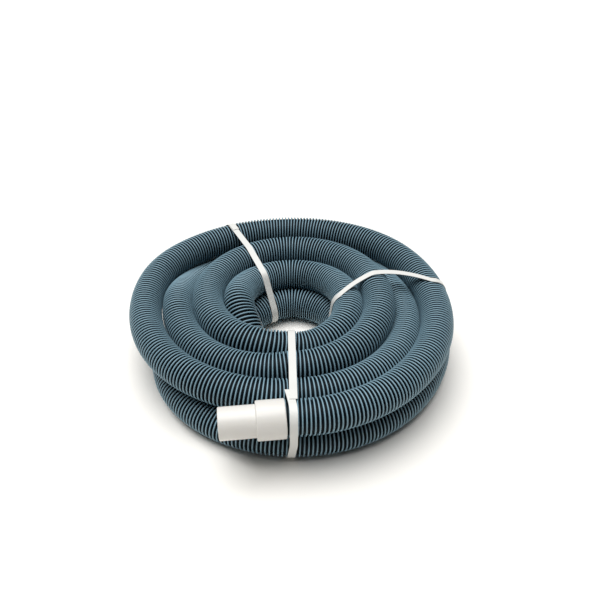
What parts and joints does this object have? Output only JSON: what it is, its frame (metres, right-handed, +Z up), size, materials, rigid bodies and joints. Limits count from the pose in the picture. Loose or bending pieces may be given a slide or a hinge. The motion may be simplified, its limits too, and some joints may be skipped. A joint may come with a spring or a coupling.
{
  "type": "pool vacuum hose",
  "caption": "Ribbed flexible pool vacuum hose wound into a flat two-layer coil, with a swivel cuff, a fixed cuff and flat strap ties.",
  "frame": {"origin": "centre of the part's box, on the surface that the coil lies on", "axes": "+Z up, out of the flat coil; the swivel cuff lies at the -Y side and points along -X"},
  "size_m": [0.4814, 0.4862, 0.109],
  "materials": {
    "hose_wall": "satin slate-blue polyethylene",
    "cuff": "satin moulded white",
    "ring": "satin white",
    "seal": "matt black",
    "washer": "natural, waxy",
    "strap": "satin white polypropylene"
  },
  "bodies": {
    "coil": {"hose": "hose_wall", "swivel_collar": "cuff", "fixed_cuff": "cuff", "retaining_ring": "ring", "nozzle_seal": "seal", "thrust_washer": "washer", "front_strap": "strap", "left_strap": "strap", "right_strap": "strap"},
    "swivel_nozzle": {"swivel_nozzle": "cuff"}
  },
  "joints": [
    {"name": "nozzle_spin", "type": "hinge", "parent": "coil", "child": "swivel_nozzle", "pos_m": [-0.03784, -0.2166, 0.07774], "axis": [-0.9945, -0.1045, -0.0087], "continuous": true}
  ]
}
